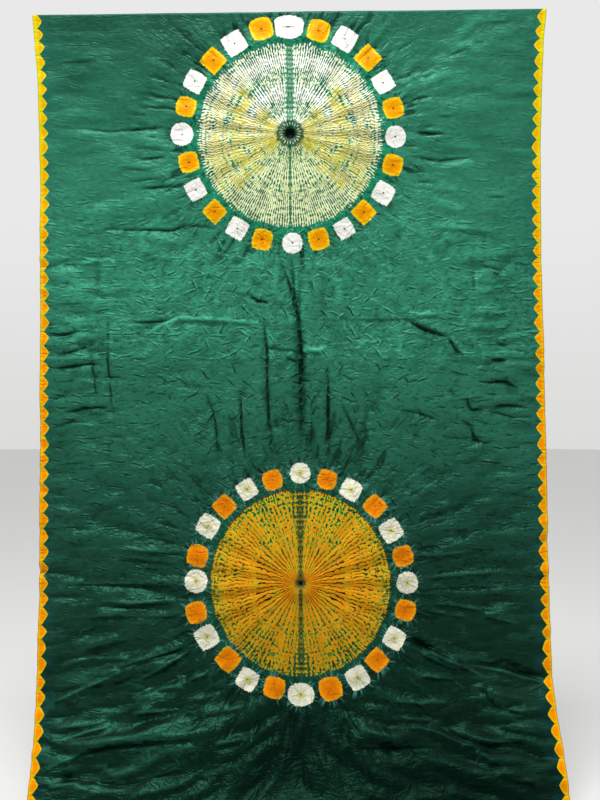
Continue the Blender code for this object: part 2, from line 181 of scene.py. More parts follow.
# Their paths from left to right or from the top down, read in the picture's pixels
sharpCreases = {
    "pleat": [
        [(291, 275), (299, 321), (301, 350), (301.6, 393), (301.6, 452)],
        [(406, 319.5), (426, 329.5), (450, 338)],
    ],
    "black": [
        [(416, 131.5), (430, 133.5), (445, 134)], [(51, 357), (77, 350), (94, 344.5)],
        [(52, 369), (85, 364), (103, 364)], [(65, 412.5), (85, 408), (110, 407)],
        [(249, 295.5), (258, 301), (270, 302.5)], [(263, 318), (267, 350), (268, 402), (272, 455)],
        [(240, 389), (242, 428.5), (245.5, 461)], [(328, 366), (329, 464)],
        [(448, 337), (456, 349.5), (463, 356)], [(495, 343.5), (511, 345.5)],
        [(490, 359.5), (507.5, 359.5)], [(480.5, 382), (492, 382.5), (504, 380), (519, 388.5)],
        [(492, 406), (504, 405), (527, 406.5)], [(466, 397.5), (471.5, 410), (481, 409)],
        [(460, 419), (471.5, 426), (474, 435.5), (479, 442.5), (493, 444)],
        [(112, 672), (154, 659), (190, 647)], [(410, 637), (424, 645), (451, 658)],
    ],
    "dark": [
        [(100, 229.5), (172, 230), (187, 225), (218, 227)], [(120, 130), (164, 127)],
        [(141, 160), (166, 157)], [(140, 189), (176, 186)], [(411, 100), (424, 97.5), (432, 97)],
        [(411, 156), (440, 160), (470, 158)], [(51, 337), (83, 330)],
        [(52, 428.5), (72, 421.5), (85.5, 423)], [(109, 320), (108, 357), (110.5, 387), (113, 418)],
        [(90, 350), (97, 400)], [(129, 323), (165, 321), (178, 316)], [(280, 259), (290, 286), (297, 316)],
        [(292, 259), (296, 320)], [(263, 347), (281, 350), (299, 351)], [(284.5, 357), (299, 362.5)],
        [(206, 391), (215, 419.5), (219, 464)], [(341.5, 402.5), (363, 449)],
        [(479, 266), (491, 267.5), (507, 271)], [(450, 388.5), (457, 399)],
        [(484, 411), (499, 413), (514, 417.5), (537, 417)], [(396, 409), (416, 412.5), (441, 421)],
        [(88, 606), (128, 607.5), (168, 604)], [(120, 560), (178, 566)], [(70, 585), (176, 588)],
        [(62, 620), (184, 617)], [(420, 612), (470, 620)], [(411, 550), (434, 547), (457, 542)],
        [(418, 590), (500, 588)], [(48, 764), (110, 749), (190, 742)], [(60, 776), (120, 786), (190, 770)],
        [(466, 661), (503, 667), (541, 678)], [(479, 686), (494.5, 707), (520, 714)],
        [(350, 750), (430, 748)],
    ],
    "thin": [
        [(50, 126), (110, 131), (165, 127)], [(129, 113), (146, 115)], [(156, 97), (169, 98.5)],
        [(130, 147), (168, 150)], [(118, 168), (152, 171)], [(126, 182), (168, 178)], [(60, 62), (98, 60)],
        [(437, 117), (452, 117)], [(417, 181), (432, 181)], [(485, 197), (508, 197)],
        [(487, 25), (511, 24)], [(472, 45), (485, 44)], [(440, 60), (470, 48)], [(51, 305), (83, 303)],
        [(51, 400), (72, 393)], [(99, 436), (140, 437)], [(52, 466), (96, 461)], [(226, 291), (249, 296.5)],
        [(130, 358), (150, 360)], [(301, 259), (299, 312)], [(263, 318), (272, 332)],
        [(324, 257), (325, 343)], [(368, 416), (361.5, 459)], [(310, 395), (313, 455)],
        [(285, 395), (287, 455)], [(514, 263), (534, 265)], [(328, 320.5), (406, 320), (441, 317)],
        [(509, 348.5), (532, 353)], [(441, 436.5), (471, 439)], [(507, 441.5), (537, 445.5)],
        [(474.5, 253), (473.5, 293)], [(60, 512), (120, 508)],
    ],
    "lit": [
        [(144, 337), (161, 325), (179, 318), (219, 319.5), (261, 324)],
        [(302, 349.5), (320, 350), (328, 344.5)], [(519, 389), (527, 397.5), (539, 397)],
        [(99, 600), (129, 602.5), (165, 600)], [(67, 662.5), (94, 657), (140, 659)],
        [(110, 547), (180, 553)], [(434, 603), (460, 606), (486, 610)], [(484, 616), (519, 623)],
        [(420, 556), (480, 550)], [(415, 578), (505, 571)], [(51, 703.5), (83, 689), (115, 675)],
        [(136.5, 681), (165, 666), (190, 650)], [(150.5, 691), (172, 686.5), (186.5, 687.5)],
        [(131, 713.5), (161, 711), (177.5, 709)], [(49, 728.5), (76, 726), (108, 721)],
        [(47, 743), (81, 734), (111, 725)], [(47, 768), (81, 754.5)], [(47, 788), (83, 782)],
        [(188, 680), (209.5, 671)], [(213, 746), (249, 737.5)], [(424, 648), (451.5, 662), (484, 675)],
        [(420.5, 653), (448, 665), (463.5, 670.5)], [(465, 664.5), (503, 670.5), (520, 676), (543, 682)],
        [(414, 677.5), (427.5, 676), (451.5, 679), (467, 689.5)], [(496, 708), (520, 711), (541, 708)],
        [(396, 728), (420.5, 727.5), (438, 732.5), (455, 739.5), (472, 744.5), (494.5, 750), (506.5, 746.5)],
        [(446.5, 726), (472, 739.5), (489.5, 742), (520, 741)], [(386, 700.5), (420.5, 703), (450, 701.5)],
        [(403, 719), (434, 719)], [(474, 763.5), (482, 755), (496, 766)],
        [(506.5, 779), (524, 782.5), (541, 783.5)],
    ],
    "gleam": [
        [(430, 226), (500, 231)], [(52, 269.5), (65, 263.5), (106, 260.5)],
        [(158, 339), (165, 328.5), (177, 321)], [(175, 380), (203, 383)], [(256, 405), (245.5, 436)],
        [(356, 349.5), (366, 341), (381, 341)], [(399.5, 308), (413, 313), (446, 315)],
        [(507, 363.5), (535, 367.5)], [(482, 346), (482, 379)], [(497, 364), (492.5, 399)],
        [(74, 634), (93.5, 628)], [(440, 505), (530, 498)], [(120, 680), (150.5, 691), (133, 707)],
        [(200, 716), (250, 705)], [(130, 797), (190, 783)], [(505, 727), (540, 733)],
    ],
    "band": [
        [(51, 757), (76, 744.5), (111, 741), (147, 737.5), (201, 732)],
        [(76, 764), (102, 766), (117, 775), (140, 766), (165, 752), (192, 746.5)],
        [(352, 743), (360, 733.5), (372, 734), (386, 738), (412, 737)],
        [(408, 800), (432, 797), (458, 799)],
    ],
}

# Small creases strewn over the cloth. aim is how steeply they run outward from the nearer medallion: 1 for
# straight outward, 0 for level, none for any way
# tone is how strongly their painted shade and highlight show
creaseZones = [
    {"name": "upper edge puckers", "count": 90, "across": (0.32, 0.462), "along": (0.01, 0.46), "aim": 0.0,
     "spread": 8, "length": (0.030, 0.110), "half": (0.0048, 0.0075), "height": (0.0008, 0.0020),
     "tone": 0.35},
    {"name": "edge puckers", "count": 210, "across": (0.33, 0.462), "along": (0.42, 1.48), "aim": 0.0,
     "spread": 9, "length": (0.030, 0.120), "half": (0.0048, 0.0075), "height": (0.0014, 0.0036),
     "tone": 0.75},
    {"name": "inner puckers", "count": 110, "across": (0.20, 0.40), "along": (0.02, 0.50), "aim": 0.0,
     "spread": 12, "length": (0.030, 0.110), "half": (0.0050, 0.0080), "height": (0.0005, 0.0014),
     "tone": 0.15},
    {"name": "ring gathers", "count": 240, "across": (0.00, 0.36), "along": (0.02, 1.36), "aim": 1.0,
     "spread": 7, "length": (0.035, 0.100), "half": (0.0050, 0.0080), "height": (0.0010, 0.0027),
     "tone": 0.40},
    {"name": "crumple", "count": 300, "across": (0.00, 0.40), "along": (0.40, 0.88), "aim": None,
     "spread": 90, "length": (0.022, 0.075), "half": (0.0050, 0.0080), "height": (0.0010, 0.0028),
     "tone": 0.50},
    {"name": "side waves", "count": 130, "across": (0.22, 0.45), "along": (0.80, 1.16), "aim": 0.8,
     "spread": 9, "length": (0.060, 0.170), "half": (0.0056, 0.0100), "height": (0.0018, 0.0046),
     "tone": 0.45},
    {"name": "foot waves", "count": 230, "across": (0.00, 0.45), "along": (1.14, 1.42), "aim": 0.25,
     "spread": 14, "length": (0.050, 0.170), "half": (0.0050, 0.0088), "height": (0.0018, 0.0046),
     "tone": 0.38},
]
creaseSeed = 2741


def easeBetween(low, high, value):
    share = np.clip((value - low) / (high - low), 0.0, 1.0)
    return share * share * (3.0 - 2.0 * share)


def hangProfile():
    along = np.arange(0.0, hungCloth["length"] + profileStep, profileStep)
    known = [row["along"] for row in hangRows]
    columns = {key: np.interp(along, known, [row[key] for row in hangRows])
               for key in ("left", "right", "lean")}
    window = np.ones(2 * int(smoothingReach / profileStep) + 1)
    for key, values in columns.items():
        padded = np.pad(values, len(window) // 2, mode="edge")
        columns[key] = np.convolve(padded, window / window.sum(), mode="valid")
    lean = np.radians(columns["lean"])
    halfway = (lean[1:] + lean[:-1]) / 2
    forward = np.concatenate([[0.0], np.cumsum(np.sin(halfway) * profileStep)])
    drop = np.concatenate([[0.0], np.cumsum(np.cos(halfway) * profileStep)])
    return along, columns["left"], columns["right"], forward, drop, lean


def flatPlaces(pixels):
    # where these pixels of the picture lie on the flat cloth, in metres across and along
    column, row = np.array(pixels, dtype=float).T
    known, left, right, forward, drop, lean = hangProfile()
    cameraX, cameraY, cameraZ = studio["cameraPlace"]
    wide, high = studio["picture"]
    sight = studio["lens"] / studio["sensor"] * high     # pixels for a metre aside, a metre from the camera
    away = -cameraY - forward
    along = np.interp(row, high / 2 + sight * (cameraZ + drop) / away, known)
    away, left, right = (np.interp(along, known, values) for values in (away, left, right))
    x = cameraX + (column - wide / 2) * away / sight
    across = hungCloth["loomWidth"] * ((x - left) / (right - left) - 0.5)
    return np.column_stack([across, along])


def addCrease(height, shade, across, along, crease):
    # raises or sinks the cloth near one crease, fading out towards both ends, and notes its painted shade and
    # highlight
    path = np.array(crease["path"])
    steps = np.linalg.norm(np.diff(path, axis=0), axis=1)
    reach = 3.2 * crease["half"]
    near = np.flatnonzero(
        (across > path[:, 0].min() - reach) & (across < path[:, 0].max() + reach)
        & (along > path[:, 1].min() - reach) & (along < path[:, 1].max() + reach))
    if not len(near):
        return
    a, s = across[near], along[near]
    best = np.full(len(near), 1e9)
    aside, done = np.zeros(len(near)), np.zeros(len(near))
    for start, end, length, before in zip(path[:-1], path[1:], steps, np.cumsum(steps) - steps):
        run = (end - start) / length
        reached = np.clip((a - start[0]) * run[0] + (s - start[1]) * run[1], 0.0, length)
        offA, offS = a - start[0] - reached * run[0], s - start[1] - reached * run[1]
        away = np.hypot(offA, offS)
        closer = away < best
        best[closer] = away[closer]
        side = np.sign(offS * run[0] - offA * run[1])
        aside[closer] = (side * away)[closer]
        done[closer] = ((before + reached) / steps.sum())[closer]
    taper = np.sin(math.pi * np.clip(done, 0.0, 1.0)) ** 0.7
    beside = math.copysign(1.7 * crease["half"], crease["height"])     # above a trough, below a ridge
    shape = np.exp(-((best / crease["half"]) ** 2))
    shape -= crease["lip"] * np.exp(-(((aside - beside) / crease["half"]) ** 2))
    height[near] += crease["height"] * taper * shape
    narrow = crease.get("toneShare", 0.72)
    tone = np.exp(-((best / (narrow * crease["half"])) ** 2))
    tone -= 0.45 * np.exp(-(((aside - 0.8 * beside) / (1.1 * narrow * crease["half"])) ** 2))
    tone *= crease["shade"] * taper
    shade[near] = np.where(np.abs(tone) > np.abs(shade[near]), tone, shade[near])


def strewnCreases():
    chance = np.random.default_rng(creaseSeed)
    made = []
    for zone in creaseZones:
        for _ in range(zone["count"]):
            across = chance.uniform(*zone["across"]) * chance.choice([-1, 1])
            along = chance.uniform(*zone["along"])
            nearer = min(medallions, key=lambda m: math.hypot(across - m["across"], along - m["along"]))
            outA, outS = across - nearer["across"], along - nearer["along"]
            if zone["aim"] is None:
                angle = chance.uniform(0, math.pi)
            else:
                angle = math.atan2(outS * zone["aim"], outA)
            angle += math.radians(chance.normal(0, zone["spread"] / 2))
            length, half = chance.uniform(*zone["length"]), chance.uniform(*zone["half"])
            height = chance.uniform(*zone["height"]) * chance.choice([-1, 1], p=[0.6, 0.4])
            bend = chance.normal(0, 0.06) * length
            if math.hypot(outA, outS) < nearer["ring"] + 0.016:
                continue        # the tied rings have gathers of their own
            run = np.array([math.cos(angle), math.sin(angle)]) * length / 2
            middle = np.array([across, along]) + np.array([-run[1], run[0]]) / length * 2 * bend
            ends = [np.array([across, along]) - run, np.array([across, along]) + run]
            made.append({"path": [ends[0], middle, ends[1]], "half": half, "height": height, "lip": 0.35,
                         "shade": -zone["tone"] * height / zone["height"][1], "toneShare": 1.0})
    return made


def medallionPolar(across, along, medallion):
    outA, outS = across - medallion["across"], along - medallion["along"]
    return np.hypot(outA, outS), np.arctan2(outS, outA)


def pleatTurns(across, along):
    # how many pleats lie between a point and the nearer medallion's top, the same on both halves of the fold
    lower = along > (medallions[0]["along"] + medallions[1]["along"]) / 2
    turns = np.zeros_like(across)
    for below, medallion in zip((False, True), medallions):
        outA, outS = np.abs(across - medallion["across"]), along - medallion["along"]
        radius, fromTop = np.hypot(outA, outS), np.arctan2(outA, -outS)
        stray = np.sin(radius * 96 + 4.0 * np.sin(fromTop * 4 + 1.0))
        stray += 0.8 * np.sin(radius * 61 + fromTop * 9)
        grip = np.clip(radius / 0.06, 0.0, 1.0) * pleating["wander"] / 2
        count = fromTop * pleating["pleats"] / (2 * math.pi)
        count += grip * stray * (0.35 + 0.65 * np.sin(fromTop) ** 2)
        turns = np.where(lower == below, count, turns)
    return turns


def medallionHeight(across, along, medallion):
    radius, angle = medallionPolar(across, along, medallion)
    disc = sum(medallion["disc"]) / 2
    angle = angle + medallion["turn"]
    crown = medallion["crown"] * np.exp(-((radius / disc) ** 4))
    pin = np.exp(-((radius / pleating["pinRadius"] - 1.0) ** 2))
    pin -= np.exp(-((2 * radius / pleating["pinRadius"]) ** 2))
    swell = 1.0 + pleating["unevenness"] * np.sin(3 * angle + 1.0) * np.sin(7 * angle)
    rise = np.clip(radius / pleating["gatherStart"], 0.0, 1.0)
    fade = np.clip((pleating["gatherEnd"] - radius) / (pleating["gatherEnd"] - disc), 0.0, 1.0)
    gather = pleating["gatherHeight"] * swell * rise * fade * np.cos(pleating["gathers"] * angle)
    return crown + pleating["pinHeight"] * pin + gather


def pleatHeight(across, along, turns):
    height = np.zeros_like(across)
    for medallion in medallions:
        radius, angle = medallionPolar(across, along, medallion)
        tall = np.minimum(radius * pleating["pleatSteepness"], pleating["pleatTallest"])
        level = 0.55 + 0.45 * np.cos(angle) ** 2
        kept = 1.0 - easeBetween(*pleating["pleatFade"], radius)
        height += tall * level * kept * np.cos(2 * math.pi * turns)
    return height


def relief(across, along, turns):
    # how far each point stands forward of the plain hanging surface
    height, shade = np.zeros_like(across), np.zeros_like(across)
    for wave in broadWaves:
        height += wave["height"] * np.sin(across * wave["across"] + along * wave["along"] + wave["phase"])
    for medallion in medallions:
        height += medallionHeight(across, along, medallion)
    for fold in mainFolds:
        addCrease(height, shade, across, along, {"shade": 0.0, **fold})
    for crease in strewnCreases():
        addCrease(height, shade, across, along, crease)
    for kind, paths in sharpCreases.items():
        for path in paths:
            addCrease(height, shade, across, along, {"path": flatPlaces(path), **creaseKinds[kind]})
    height += pleatHeight(across, along, turns)
    topRelief, leanEnd = hungCloth["topRelief"], hungCloth["leanEnd"]
    held = topRelief + (1.0 - topRelief) * np.clip(along / hungCloth["topEase"], 0, 1)
    grounded = np.clip((along - leanEnd) / (hungCloth["floorStart"] - leanEnd), 0, 1)
    height *= held * (1.0 - (1.0 - hungCloth["floorRelief"]) * grounded)
    half, length, hem = hungCloth["loomWidth"] / 2, hungCloth["length"], hungCloth["hemWidth"]
    toEdge = np.minimum.reduce([half - np.abs(across), along, length - along])
    return height + hungCloth["hemHeight"] * np.exp(-((toEdge / hem - 0.6) ** 2) * 4), shade


def hungPoints(across, along, turns):
    known, left, right, forward, drop, lean = hangProfile()
    left, right = np.interp(along, known, left), np.interp(along, known, right)
    forward, drop, lean = (np.interp(along, known, values) for values in (forward, drop, lean))
    share = across / hungCloth["loomWidth"] + 0.5
    rise = hungCloth["topRise"] * (2.0 * share - 1.0)
    rise *= np.clip(1.0 - along / hungCloth["topRiseReach"], 0.0, 1.0) ** 2
    height, shade = relief(across, along, turns)
    x = left + (right - left) * share
    places = [x, -forward - height * np.cos(lean), rise - drop + height * np.sin(lean)]
    return np.column_stack(places), shade


def evenLines(stops, pitch):
    lines = [stops[0]]
    for low, high in zip(stops[:-1], stops[1:]):
        steps = max(1, round((high - low) / pitch))
        lines += [low + (high - low) * step / steps for step in range(1, steps + 1)]
    return lines


def bridgeLoops(inner, outer, centre, points):
    # triangles between two loops round one centre, walked together by angle
    def byAngle(loop):
        return sorted((math.atan2(points[i][1] - centre[1], points[i][0] - centre[0]), i) for i in loop)

    inner, outer = byAngle(inner), byAngle(outer)
    faces, i, o = [], 0, 0
    while i < len(inner) or o < len(outer):
        here, there = inner[i % len(inner)][1], outer[o % len(outer)][1]
        nextInner = inner[(i + 1) % len(inner)][0] + (2 * math.pi if i + 1 >= len(inner) else 0.0)
        nextOuter = outer[(o + 1) % len(outer)][0] + (2 * math.pi if o + 1 >= len(outer) else 0.0)
        if i < len(inner) and (o >= len(outer) or nextInner < nextOuter):
            faces.append((here, there, inner[(i + 1) % len(inner)][1]))
            i += 1
        else:
            faces.append((here, there, outer[(o + 1) % len(outer)][1]))
            o += 1
    return faces


def medallionRings():
    # radius and number of spokes of each ring of mesh points, coarser towards the middle
    rings, radius = [], 0.006
    while radius < pleating["meshRadius"]:
        share = 8 if radius < 0.018 else 4 if radius < 0.040 else 2 if radius < 0.075 else 1
        rings.append((radius, pleating["spokes"] // share))
        radius += pleating["ringPitch"]
    return rings


def flatMesh():
    # the cloth laid flat: a grid of quads, with a wheel of rings and spokes set in at each medallion
    half, length = hungCloth["loomWidth"] / 2, hungCloth["length"]
    edge = (0.002, 0.005, 0.010, 0.018)
    columns = evenLines([-half, *(e - half for e in edge), *(half - e for e in reversed(edge)), half],
                        hungCloth["columnPitch"])
    tail = hungCloth["tailStart"]
    rows = evenLines([0.0, 0.003, 0.007, tail], hungCloth["rowPitch"])
    rows += evenLines([tail, length - 0.007, length - 0.003, length], hungCloth["tailPitch"])[1:]
    points = [(across, along) for along in rows for across in columns]
    wide, faces = len(columns), []
    openCells = [[] for _ in medallions]
    rings = medallionRings()
    openRadius = rings[-1][0] + pleating["meshGap"]
    for r in range(len(rows) - 1):
        for c in range(wide - 1):
            middle = ((columns[c] + columns[c + 1]) / 2, (rows[r] + rows[r + 1]) / 2)
            corner = r * wide + c
            loop = (corner, corner + 1, corner + wide + 1, corner + wide)
            owner = [m for m, place in enumerate(medallions)
                     if math.dist(middle, (place["across"], place["along"])) < openRadius]
            (openCells[owner[0]] if owner else faces).append(loop)
    for cells, medallion in zip(openCells, medallions):
        centre = (medallion["across"], medallion["along"])
        sides = {}
        for loop in cells:
            for a, b in zip(loop, loop[1:] + loop[:1]):
                sides[frozenset((a, b))] = sides.get(frozenset((a, b)), 0) + 1
        inner = None
        for radius, count in rings:
            ring = list(range(len(points), len(points) + count))
            for spoke in range(count):
                angle = 2 * math.pi * (spoke + 0.5) / count
                points.append((centre[0] + radius * math.cos(angle), centre[1] + radius * math.sin(angle)))
            if inner is None:
                points.append(centre)
                faces += [(len(points) - 1, a, b) for a, b in zip(ring, ring[1:] + ring[:1])]
            elif len(inner) == len(ring):
                faces += [(inner[s - 1], ring[s - 1], ring[s], inner[s]) for s in range(count)]
            else:
                faces += bridgeLoops(inner, ring, centre, points)
            inner = ring
        rim = {i for side, times in sides.items() if times == 1 for i in side}
        faces += bridgeLoops(inner, rim, centre, points)
    used = sorted({i for face in faces for i in face})
    place = {old: new for new, old in enumerate(used)}
    return np.array([points[i] for i in used]), [tuple(place[i] for i in reversed(face)) for face in faces]


def dye(hexColour):
    # sRGB hex to the linear colour that the shader wants
    parts = [int(hexColour[i:i + 2], 16) / 255 for i in (1, 3, 5)]
    return (*(p / 12.92 if p <= 0.04045 else ((p + 0.055) / 1.055) ** 2.4 for p in parts), 1.0)


def addNode(tree, kind, *feeds, out=0, stops=(), **settings):
    # adds a node: kind is its name and, after a space, its operation or type; feeds fill its sockets in order
    name, _, operation = kind.partition(" ")
    made = tree.nodes.new("ShaderNode" + name)
    if operation:
        sort = {"Mix": "data_type", "MapRange": "interpolation_type"}.get(name, "operation")
        setattr(made, sort, operation)
    for key, value in settings.items():
        setattr(made, key, value)
    for _ in stops[2:]:
        made.color_ramp.elements.new(0.5)
    for number, (place, colour) in enumerate(stops):
        made.color_ramp.elements[number].position = place
        made.color_ramp.elements[number].color = dye(colour)
    for socket, feed in zip([s for s in made.inputs if s.enabled], feeds):
        if isinstance(feed, bpy.types.NodeSocket):
            tree.links.new(feed, socket)
        elif feed is not None:
            socket.default_value = dye(feed) if isinstance(feed, str) else feed
    return [s for s in made.outputs if s.enabled][out]


# The dyes, with painted shade and highlights among them. Sizes are millimetres on the flat cloth, in pairs
# for the upper and lower medallion
dyeing = {
    # the ground ramp darkens towards the foot: painted shade where less light reaches
    "ground": [(0.00, "#286751"), (0.14, "#2e765d"), (0.30, "#328065"), (0.42, "#2c7159"), (0.53, "#1f5040"),
               (0.62, "#173a2e"), (0.70, "#0d221a"), (0.80, "#081a13"), (1.00, "#07150f")],
    "groundDeep": "#0b3526",
    # painted shade: the near-black laid in creases and hollows where shade falls
    "paintedCreaseShade": "#04120d",
    "paintedRidgeHighlight": ("#4cb892", "#285f4d"),
    "ringGreen": ("#14865f", "#104e39"),
    "white": "#fbfbf3",
    "between": ("#137f57", "#0c5a40"),
    "paleBetween": "#cfe690",
    "mustard": "#c4b81c",
    "trough": "#0d5239",
    "gloss": "#62d6a6",
    "patchShadeDark": "#03100b",
    "specks": [(0.00, "#0c3720"), (0.26, "#1d6434"), (0.36, "#74a62c"), (0.45, "#ccb520"), (0.55, "#eaae1a"),
               (0.66, "#f59410"), (1.00, "#f3800c")],
    "ridgeOrange": ("#f29812", "#d8ac1e"),
    "ridgeTroughShade": "#0a1f0e",
    "hole": "#04120d",
    "whiteDot": ("#fbfbf4", "#f4f3dc"),
    "orangeDot": ("#f9a408", "#f5890a"),
    "dotYellow": ("#fbcf10", "#f7a612"),
    "bandYellow": ("#e0d60c", "#fac00a"),       # at the top of the cloth, and from its middle down
    "scallopOrange": ("#efb008", "#ff9602"),
    "dotHalf": (19.7, 17.8),      # half the breadth of a round dot and of a square one
    "scallopPitch": (25.0, 30.0),
    "bandDepth": 6.6,
    "scallopDepth": 9.6,
}
# Painted shade: where the cloth is painted darker, or lighter below nought: middle and reach in millimetres
# across and along
paintedShadePatches = [
    {"middle": (-250, 20), "reach": (330, 190), "patchShade": 0.42},
    {"middle": (-320, 200), "reach": (150, 130), "patchShade": 0.12},
    {"middle": (470, 480), "reach": (120, 330), "patchShade": 0.22},
    {"middle": (-470, 700), "reach": (90, 300), "patchShade": 0.15},
    {"middle": (20, 720), "reach": (110, 90), "patchShade": 0.18},
    {"middle": (300, 1060), "reach": (230, 270), "patchShade": 0.34},
    {"middle": (10, 1330), "reach": (210, 160), "patchShade": 0.85},
    {"middle": (200, 1390), "reach": (420, 215), "patchShade": 0.92},
]


def dyedSatin():
    # Modal satin, tied and dyed: the smooth float weave gives a soft gloss that runs along the folds; the
    # resist leaves white and orange figures with fuzzy edges; the tying leaves fine creases, painted with
    # shade in their hollows and with highlights on their ridges
    material = bpy.data.materials.new("tieDyedModalSatin")
    material.use_nodes = True
    tree = material.node_tree
    shader = tree.nodes["Principled BSDF"]
    smooth, colours, pair = "MapRange SMOOTHSTEP", "Mix RGBA", "Mix FLOAT"
    first, second = medallions
    circle = 2 * math.pi

    def add(kind, *feeds, **settings):
        return addNode(tree, kind, *feeds, **settings)

    millimetres, halfWidth = hungCloth["length"] * 1000, hungCloth["loomWidth"] * 500
    flat = add("VectorMath MULTIPLY", add("UVMap", uv_map="flatCloth"), (millimetres, millimetres, 0.0))
    across = add("Math SUBTRACT", add("SeparateXYZ", flat), halfWidth)
    along = add("Math SUBTRACT", millimetres, add("SeparateXYZ", flat, out=1))
    lower = add("Math GREATER_THAN", along, 500 * (first["along"] + second["along"]))

    # place in the nearer medallion, x to the right and y up
    x = add("Math SUBTRACT", across, add(pair, lower, first["across"] * 1000, second["across"] * 1000))
    y = add("Math SUBTRACT", add(pair, lower, first["along"] * 1000, second["along"] * 1000), along)
    xFold = add("Math ABSOLUTE", x)
    radius = add("VectorMath LENGTH", add("CombineXYZ", x, y, 0.0))
    sine, cosine = add("Math DIVIDE", x, radius), add("Math DIVIDE", y, radius)
    sineFold = add("Math ABSOLUTE", sine)
    fromTop = add("Math ARCTAN2", x, y)
    discX = add("Math DIVIDE", x, add(pair, lower, first["disc"][0] * 1000, second["disc"][0] * 1000))
    discY = add("Math DIVIDE", y, add(pair, lower, first["disc"][1] * 1000, second["disc"][1] * 1000))
    rho = add("VectorMath LENGTH", add("CombineXYZ", discX, discY, 0.0))

    # the tied pleats wander on their way out, and are bound fewer towards the middle
    cloud = add("TexNoise", add("CombineXYZ", xFold, y, add("Math MULTIPLY", lower, 40.0)), 1 / 24, 2.0, 0.5)
    sideways = add("Math MULTIPLY_ADD", add("Math SUBTRACT", cloud, 0.5), 0.90, sineFold)
    side = add("Math MULTIPLY", add(smooth, sideways, 0.58, 0.90), add(smooth, rho, 1.02, 0.84))
    strayPlace = add("CombineXYZ", add("Math MULTIPLY", sineFold, 5.0), add("Math DIVIDE", radius, 13.0),
                     add("Math MULTIPLY", cosine, 5.0))
    stray = add("Math SUBTRACT", add("TexNoise", strayPlace, 1.0, 1.0, 0.5), 0.5)
    stray = add("Math MULTIPLY", stray, add("Math MULTIPLY_ADD", side, 1.2, 0.4))
    wiggle = add("Math SUBTRACT", add("TexNoise", add("CombineXYZ", xFold, y, lower), 1 / 7.5, 1.0, 0.5), 0.5)
    wiggle = add("Math DIVIDE", add("Math MULTIPLY", wiggle, 90.0), add("Math MAXIMUM", radius, 30.0))
    stray = add("Math MULTIPLY_ADD", wiggle, add("Math MULTIPLY_ADD", side, 0.7, 0.3), stray)
    turns = add("Math ADD", add("Attribute", attribute_name="pleatTurns", out=2), stray)
    sparse = add("Math COSINE", add("Math MULTIPLY", turns, circle / 2))
    crest = add("Math COSINE", add("Math MULTIPLY", turns, circle))
    fine = add("Math COSINE", add("Math MULTIPLY", turns, circle * 2))
    blurred = add("Math MULTIPLY_ADD", add("Math SUBTRACT", cloud, 0.5), 60.0, radius)
    pleat = add(pair, add(smooth, blurred, add(pair, lower, 30.0, 76.0), add(pair, lower, 46.0, 108.0)),
                sparse, crest)
    finer = add(smooth, blurred, add(pair, lower, 86.0, 138.0), add(pair, lower, 108.0, 170.0))
    pleat = add(pair, finer, pleat, fine)

    # each stroke is broken into dashes of its own, and all of them together along the rows of stitches
    dashPlace = add("CombineXYZ", add("Math MULTIPLY", turns, 2.6), add("Math DIVIDE", radius, 5.5), lower)
    dash = add("Math SUBTRACT", add("TexNoise", dashPlace, 1.0, 1.0, 0.5), 0.5)
    rowPlace = add("CombineXYZ", add("Math MULTIPLY", sineFold, 7.0), add("Math DIVIDE", radius, 5.0),
                   add("Math MULTIPLY", cosine, 3.0))
    rows = add("Math SUBTRACT", add("TexNoise", rowPlace, 1.0, 1.0, 0.5), 0.5)
    fleckPlace = add("CombineXYZ", xFold, y, add("Math MULTIPLY_ADD", lower, 30.0, 9.0))
    fleck = add("Math SUBTRACT", add("TexNoise", fleckPlace, 1 / 4.2, 2.0, 0.6), 0.5)
    ragged = add("Math MULTIPLY_ADD", dash, 1.7, add("Math MULTIPLY_ADD", rows, 0.9, fleck))

    # the upper disc: white strokes over green, pale or mustard ground
    bands = add("Math COSINE", add("Math MULTIPLY", add("Math SUBTRACT", rho, 0.49), circle / 0.33))
    bottom = add(smooth, add("Math MULTIPLY_ADD", ragged, 0.25, cosine), 0.20, -0.50)
    between = add(colours, add(smooth, fleck, -0.05, 0.08), *dyeing["between"])
    paleness = add("Math MULTIPLY_ADD", cloud, 0.9, add("Math MULTIPLY_ADD", rows, 1.1, ragged))
    paleness = add("Math MULTIPLY_ADD", side, 0.24, add("Math MULTIPLY_ADD", bottom, 0.12, paleness))
    between = add(colours, add(smooth, paleness, 0.42, 0.70), between, dyeing["paleBetween"])
    mustard = add("Math MULTIPLY", side, add(smooth, add("Math MULTIPLY_ADD", rows, 0.9, cloud), 0.38, 0.52))
    nearMiddle = add("Math MULTIPLY", add(smooth, rho, 0.42, 0.22), add(smooth, sineFold, 0.55, 0.95))
    mustard = add("Math MAXIMUM", mustard, nearMiddle)
    between = add(colours, add("Math MULTIPLY", mustard, 0.92), between, dyeing["mustard"])
    # dark green in the pleat troughs: dye, deepened with painted shade on their shadowed side
    troughShade = add("Math MULTIPLY_ADD", ragged, 0.50, pleat)
    troughShade = add("Math MULTIPLY", add(smooth, troughShade, -0.74, -0.96), 0.85)
    between = add(colours, troughShade, between, dyeing["trough"])
    upward = add(smooth, cosine, 0.10, 0.75)
    paint = add("Math MULTIPLY_ADD", bands, add("Math MULTIPLY_ADD", upward, 0.20, 0.05), 0.03)
    paint = add("Math MULTIPLY_ADD", side, -0.36, add("Math MULTIPLY_ADD", bottom, -0.06, paint))
    paint = add("Math MULTIPLY_ADD", pleat, add("Math MULTIPLY_ADD", side, 0.14, 0.48), paint)
    paint = add("Math MULTIPLY_ADD", ragged, add("Math MULTIPLY_ADD", side, -0.40, 0.85), paint)
    paint = add("Math MULTIPLY_ADD", add(smooth, rho, 0.34, 0.16), -0.16, paint)
    painted = add(smooth, paint, -0.04, 0.16)
    white = add(colours, add("Math MULTIPLY", bottom, 0.75), dyeing["white"], "#eef5bf")
    upperDisc = add(colours, painted, between, white)

